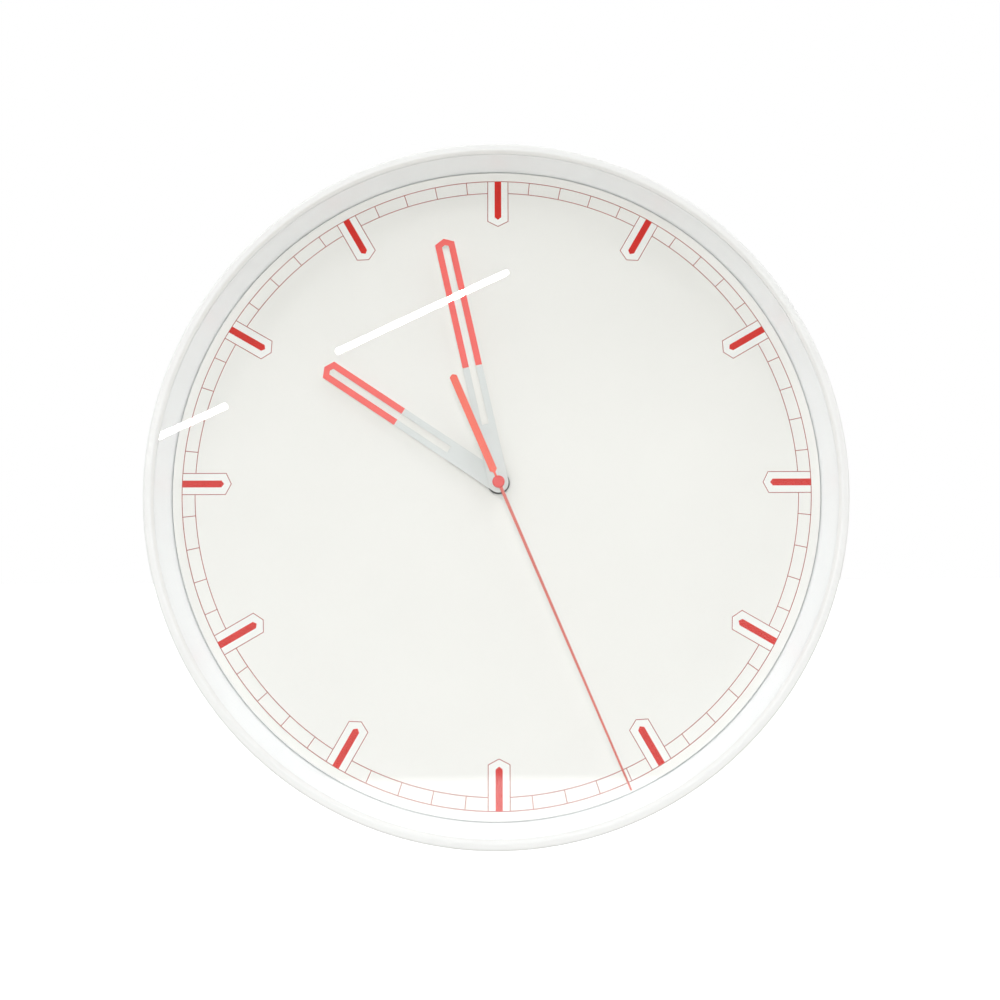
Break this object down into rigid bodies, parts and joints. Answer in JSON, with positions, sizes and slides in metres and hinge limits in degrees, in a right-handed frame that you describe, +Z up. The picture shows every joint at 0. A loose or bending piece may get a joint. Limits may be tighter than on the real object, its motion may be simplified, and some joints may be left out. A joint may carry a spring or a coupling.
{
  "type": "wall clock",
  "caption": "Round white quartz wall clock with flat glass, a recessed dial, slotted two-tone hands, a battery movement and a keyhole hanger.",
  "frame": {"origin": "the point where the hands' axis meets the wall plane, at the centre of the clock's back", "axes": "+Z up, +X to the right as seen from the front, dial facing -Y, wall towards +Y"},
  "size_m": [0.3, 0.042, 0.3],
  "materials": {
    "case_white": "moulded white ABS, satin gloss",
    "clear_glass": "flat polished mineral glass",
    "grey_foam": "closed-cell foam",
    "ring_white": "moulded white plastic",
    "dial_white": "matt off-white screen-printed sheet",
    "back_plastic": "moulded white plastic, fine texture",
    "zinc_steel": "zinc-plated steel",
    "black_plastic": "moulded black plastic",
    "soft_iron": "soft iron sheet",
    "copper_wire": "enamelled copper wire",
    "green_board": "glass-fibre circuit board",
    "black_resin": "epoxy drop",
    "contact_brass": "plated brass",
    "battery_wrap": "plain printed plastic sleeve",
    "coral_paint": "coral red lacquer on aluminium",
    "cap_red": "dark red lacquer on brass",
    "hand_paint": "aluminium, grey at the root and coral red lacquer beyond",
    "gear_plastic": "acetal",
    "magnet_grey": "bonded magnet"
  },
  "bodies": {
    "clock_case": {"case": "case_white", "glass": "clear_glass", "glass_gasket": "grey_foam", "spacer_ring": "ring_white", "dial_plate": "dial_white", "dial_foam": "grey_foam", "carrier": "back_plastic", "case_screws": "zinc_steel", "hanger_plate": "zinc_steel", "hanger_screws": "zinc_steel", "movement_front": "black_plastic", "movement_rear": "black_plastic", "stator": "soft_iron", "coil_core": "soft_iron", "coil_bobbin": "gear_plastic", "coil_winding": "copper_wire", "circuit_board": "green_board", "timing_chip": "black_resin", "crystal_can": "zinc_steel", "contact_plus": "contact_brass", "contact_minus": "contact_brass"},
    "battery": {"battery_sleeve": "battery_wrap", "battery_cap": "zinc_steel", "battery_base": "zinc_steel"},
    "second_train": {"second_hand": "coral_paint", "second_cap": "cap_red", "second_bush": "contact_brass", "second_arbor": "zinc_steel", "second_wheel": "gear_plastic"},
    "minute_train": {"minute_hand": "hand_paint", "minute_bush": "contact_brass", "minute_arbor": "gear_plastic"},
    "hour_train": {"hour_hand": "hand_paint", "hour_bush": "contact_brass", "hour_wheel": "gear_plastic"},
    "centre_drive": {"centre_wheel": "gear_plastic", "clutch_spring": "contact_brass"},
    "third_drive": {"third_wheel": "gear_plastic", "third_arbor": "zinc_steel"},
    "middle_drive": {"middle_wheel": "gear_plastic", "middle_arbor": "zinc_steel"},
    "rotor": {"rotor_magnet": "magnet_grey", "rotor_pinion": "gear_plastic"},
    "motion_drive": {"motion_wheel": "gear_plastic"},
    "setting": {"set_stem": "gear_plastic", "set_knob": "black_plastic"}
  },
  "joints": [
    {"name": "second_turn", "type": "hinge", "parent": "clock_case", "child": "second_train", "pos_m": [0, -0.012, 0], "axis": [0, 1, 0], "continuous": true},
    {"name": "middle_turn", "type": "hinge", "parent": "clock_case", "child": "middle_drive", "pos_m": [-0.00558, -0.012, 0.00665], "axis": [0, 1, 0], "continuous": true},
    {"name": "rotor_turn", "type": "hinge", "parent": "clock_case", "child": "rotor", "pos_m": [-0.01015, -0.012, 0.00929], "axis": [0, 1, 0], "continuous": true},
    {"name": "third_turn", "type": "hinge", "parent": "clock_case", "child": "third_drive", "pos_m": [0.00428, -0.012, 0.00742], "axis": [0, 1, 0], "continuous": true},
    {"name": "centre_turn", "type": "hinge", "parent": "clock_case", "child": "centre_drive", "pos_m": [0, -0.012, 0], "axis": [0, 1, 0], "continuous": true},
    {"name": "minute_turn", "type": "hinge", "parent": "clock_case", "child": "minute_train", "pos_m": [0, -0.012, 0], "axis": [0, 1, 0], "continuous": true},
    {"name": "motion_turn", "type": "hinge", "parent": "clock_case", "child": "motion_drive", "pos_m": [-0.00733, -0.012, -0.00267], "axis": [0, 1, 0], "continuous": true},
    {"name": "hour_turn", "type": "hinge", "parent": "clock_case", "child": "hour_train", "pos_m": [0, -0.012, 0], "axis": [0, 1, 0], "continuous": true},
    {"name": "setting_turn", "type": "hinge", "parent": "clock_case", "child": "setting", "pos_m": [-0.00343, -0.012, -0.00942], "axis": [0, 1, 0], "continuous": true},
    {"name": "battery_out", "type": "slide", "parent": "clock_case", "child": "battery", "axis": [0, 1, 0], "range_m": [0, 0.03]}
  ],
  "couplings": [
    {"joint": "middle_turn", "follows": "second_turn", "ratio": -6},
    {"joint": "rotor_turn", "follows": "second_turn", "ratio": 30},
    {"joint": "third_turn", "follows": "second_turn", "ratio": -0.13333},
    {"joint": "centre_turn", "follows": "second_turn", "ratio": 0.016667},
    {"joint": "motion_turn", "follows": "minute_turn", "ratio": -0.33333},
    {"joint": "hour_turn", "follows": "minute_turn", "ratio": 0.083333},
    {"joint": "setting_turn", "follows": "minute_turn", "ratio": 1}
  ]
}
